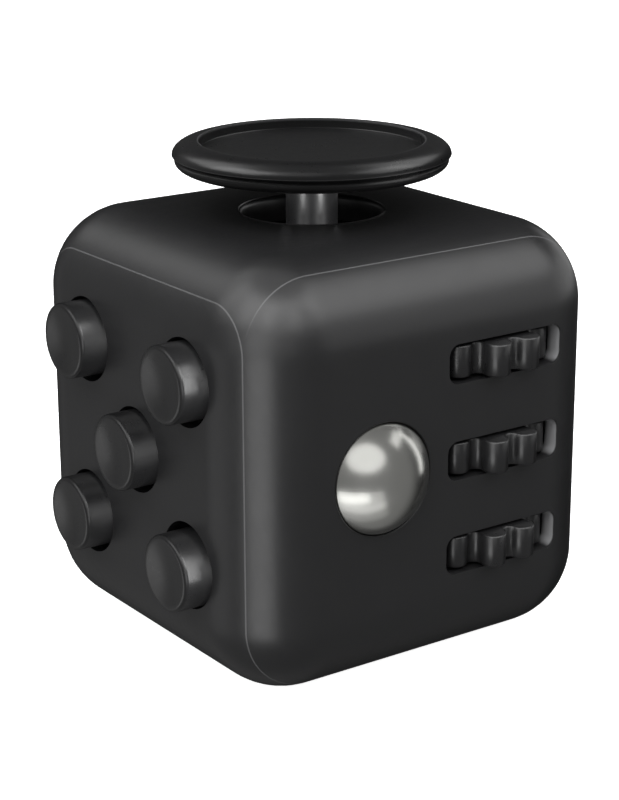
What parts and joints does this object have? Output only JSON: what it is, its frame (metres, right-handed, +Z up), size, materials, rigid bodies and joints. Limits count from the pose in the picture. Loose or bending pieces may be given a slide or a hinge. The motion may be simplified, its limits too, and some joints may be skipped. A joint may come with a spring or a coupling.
{
  "type": "fidget cube",
  "caption": "Pocket fidget cube: joystick on top, push buttons on one side, thumb wheels and a rolling ball in front, flip switch, spin dial and thumb dish on the other faces.",
  "frame": {"origin": "on the surface the cube rests on, under the middle of its case", "axes": "+Z up along the joystick at rest, -Y the face with the wheels and the ball, -X the face with the push buttons, +X the flip switch, +Y the dial"},
  "size_m": [0.0368, 0.0374, 0.0385],
  "materials": {
    "case_black": "fine matte moulded texture, charcoal black",
    "control_black": "smooth satin moulded plastic, dark grey-black",
    "frame_grey": "plain moulded inner plastic, dark grey",
    "steel": "turned and ground steel, plain",
    "ball_steel": "satin polished steel ball",
    "silicone": "translucent grey silicone rubber",
    "white_acetal": "natural white low-friction plastic",
    "board": "painted sheet backplate, dull green"
  },
  "bodies": {
    "case": {"body_shell": "case_black", "front_cover": "case_black", "top_cover": "case_black", "back_cover": "case_black", "stick_socket": "frame_grey", "stick_spring": "steel", "dome_pad": "silicone", "button_backplate": "board", "wheel_axle": "steel", "wheel_spacers": "white_acetal", "wheel_bracket": "frame_grey", "ball_spring": "steel", "ball_frame": "frame_grey", "rocker_pin": "steel", "rocker_frame": "frame_grey", "rocker_leaf": "steel", "mount_screws": "steel"},
    "cross": {"joint_cross": "steel"},
    "stick": {"stick_stem": "control_black", "stick_collar": "control_black", "thumb_plate": "control_black", "thumb_cap": "control_black"},
    "button_upper_rear": {"button_upper_rear": "control_black"},
    "button_upper_front": {"button_upper_front": "control_black"},
    "button_centre": {"button_centre": "control_black"},
    "button_lower_rear": {"button_lower_rear": "control_black"},
    "button_lower_front": {"button_lower_front": "control_black"},
    "wheel_upper": {"wheel_upper": "control_black"},
    "wheel_middle": {"wheel_middle": "control_black"},
    "wheel_lower": {"wheel_lower": "control_black"},
    "ball_cup": {"ball_cup": "white_acetal"},
    "ball": {"roll_ball": "ball_steel"},
    "rocker": {"flip_rocker": "control_black"},
    "dial": {"spin_dial": "control_black", "dial_washer": "steel", "dial_screw": "steel"}
  },
  "joints": [
    {"name": "stick_tilt_x", "type": "hinge", "parent": "case", "child": "cross", "pos_m": [0, 0, 0.0265], "axis": [1, 0, 0], "range_deg": [-10, 10], "stiffness_Nm_per_rad": 0.02, "deforming": ["stick_spring"]},
    {"name": "stick_tilt_y", "type": "hinge", "parent": "cross", "child": "stick", "pos_m": [0, 0, 0.0265], "axis": [0, 1, 0], "range_deg": [-10, 10], "stiffness_Nm_per_rad": 0.02},
    {"name": "button_upper_rear_press", "type": "slide", "parent": "case", "child": "button_upper_rear", "axis": [1, 0, 0], "range_m": [0, 0.0011], "stiffness_N_per_m": 400},
    {"name": "button_upper_front_press", "type": "slide", "parent": "case", "child": "button_upper_front", "axis": [1, 0, 0], "range_m": [0, 0.0011], "stiffness_N_per_m": 400},
    {"name": "button_centre_press", "type": "slide", "parent": "case", "child": "button_centre", "axis": [1, 0, 0], "range_m": [0, 0.0011], "stiffness_N_per_m": 400, "deforming": ["dome_pad"]},
    {"name": "button_lower_rear_press", "type": "slide", "parent": "case", "child": "button_lower_rear", "axis": [1, 0, 0], "range_m": [0, 0.0011], "stiffness_N_per_m": 400},
    {"name": "button_lower_front_press", "type": "slide", "parent": "case", "child": "button_lower_front", "axis": [1, 0, 0], "range_m": [0, 0.0011], "stiffness_N_per_m": 400},
    {"name": "wheel_upper_turn", "type": "hinge", "parent": "case", "child": "wheel_upper", "pos_m": [0.0059, -0.0123, 0.02425], "axis": [0, 0, 1], "continuous": true},
    {"name": "wheel_middle_turn", "type": "hinge", "parent": "case", "child": "wheel_middle", "pos_m": [0.0059, -0.0123, 0.0168], "axis": [0, 0, 1], "continuous": true},
    {"name": "wheel_lower_turn", "type": "hinge", "parent": "case", "child": "wheel_lower", "pos_m": [0.0059, -0.0123, 0.00935], "axis": [0, 0, 1], "continuous": true},
    {"name": "ball_press", "type": "slide", "parent": "case", "child": "ball_cup", "axis": [0, 1, 0], "range_m": [0, 0.0008], "stiffness_N_per_m": 700, "deforming": ["ball_spring"]},
    {"name": "ball_roll", "type": "hinge", "parent": "ball_cup", "child": "ball", "pos_m": [-0.0054, -0.0137, 0.0168], "axis": [1, 0, 0], "continuous": true},
    {"name": "rocker_flip", "type": "hinge", "parent": "case", "child": "rocker", "pos_m": [0.0132, 0, 0.0165], "axis": [0, 1, 0], "range_deg": [-22, 0]},
    {"name": "dial_turn", "type": "hinge", "parent": "case", "child": "dial", "pos_m": [0, 0.0165, 0.0165], "axis": [0, 1, 0], "continuous": true}
  ]
}
